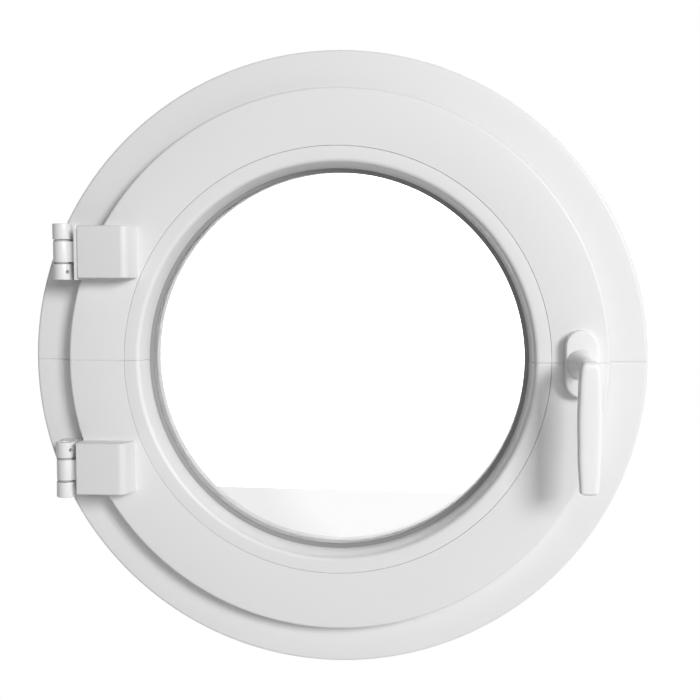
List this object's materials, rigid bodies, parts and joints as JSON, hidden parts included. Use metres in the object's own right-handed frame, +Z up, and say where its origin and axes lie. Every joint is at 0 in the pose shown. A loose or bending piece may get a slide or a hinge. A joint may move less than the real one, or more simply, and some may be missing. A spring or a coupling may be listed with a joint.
{
  "type": "round casement window",
  "caption": "Round white inward-opening window: ring frame, hinged ring sash with double glazing, lever handle and curved lock bar.",
  "frame": {"origin": "centre of the frame ring, at half the frame's depth", "axes": "+X right and +Z up seen from the room, +Y through the window to the outdoors"},
  "size_m": [0.6, 0.1441, 0.6],
  "materials": {
    "white_profile": "satin",
    "white_cover": "satin",
    "white_paint": "satin",
    "seal_rubber": "matte",
    "glazing_seal": "matte",
    "window_glass": "clear",
    "spacer_metal": "satin",
    "block_plastic": "matte",
    "bright_steel": "satin",
    "zinc_steel": "satin",
    "zinc_casting": "cast"
  },
  "bodies": {
    "frame": {"frame_ring": "white_profile", "frame_seal": "seal_rubber", "upper_frame_leaf": "white_paint", "lower_frame_leaf": "white_paint", "upper_hinge_pin": "bright_steel", "lower_hinge_pin": "bright_steel", "hinge_grub_screws": "bright_steel", "frame_leaf_screws": "bright_steel", "upper_keep": "zinc_casting", "lower_keep": "zinc_casting", "keep_screws": "bright_steel"},
    "sash": {"sash_ring": "white_profile", "sash_seal": "seal_rubber", "upper_bead": "white_profile", "lower_bead": "white_profile", "inner_pane": "window_glass", "outer_pane": "window_glass", "spacer_bar": "spacer_metal", "edge_sealant": "seal_rubber", "inner_glazing_seal": "glazing_seal", "outer_glazing_seal": "glazing_seal", "setting_blocks": "block_plastic", "upper_sash_leaf": "white_paint", "lower_sash_leaf": "white_paint", "upper_hinge_bush": "block_plastic", "lower_hinge_bush": "block_plastic", "upper_hinge_cover": "white_cover", "lower_hinge_cover": "white_cover", "sash_leaf_screws": "bright_steel", "gear_case": "zinc_steel", "faceplate": "zinc_steel", "faceplate_screws": "bright_steel", "rosette_base": "zinc_casting", "rosette_cover": "white_cover", "rosette_screws": "bright_steel"},
    "handle": {"handle": "white_paint", "spindle": "bright_steel", "pinion": "zinc_casting"},
    "lock_bar": {"lock_bar": "zinc_steel", "lock_cams": "bright_steel"}
  },
  "joints": [
    {"name": "sash_swing", "type": "hinge", "parent": "frame", "child": "sash", "pos_m": [-0.26369, -0.06, 0], "axis": [0, 0, -1], "range_deg": [0, 100]},
    {"name": "handle_turn", "type": "hinge", "parent": "sash", "child": "handle", "pos_m": [0.2335, -0.06, 0], "axis": [0, 1, 0], "range_deg": [0, 90]},
    {"name": "lock_travel", "type": "hinge", "parent": "sash", "child": "lock_bar", "pos_m": [0, -0.025, 0], "axis": [0, -1, 0], "range_deg": [0, 3.2]}
  ],
  "couplings": [
    {"joint": "lock_travel", "follows": "handle_turn", "ratio": 0.035477}
  ]
}
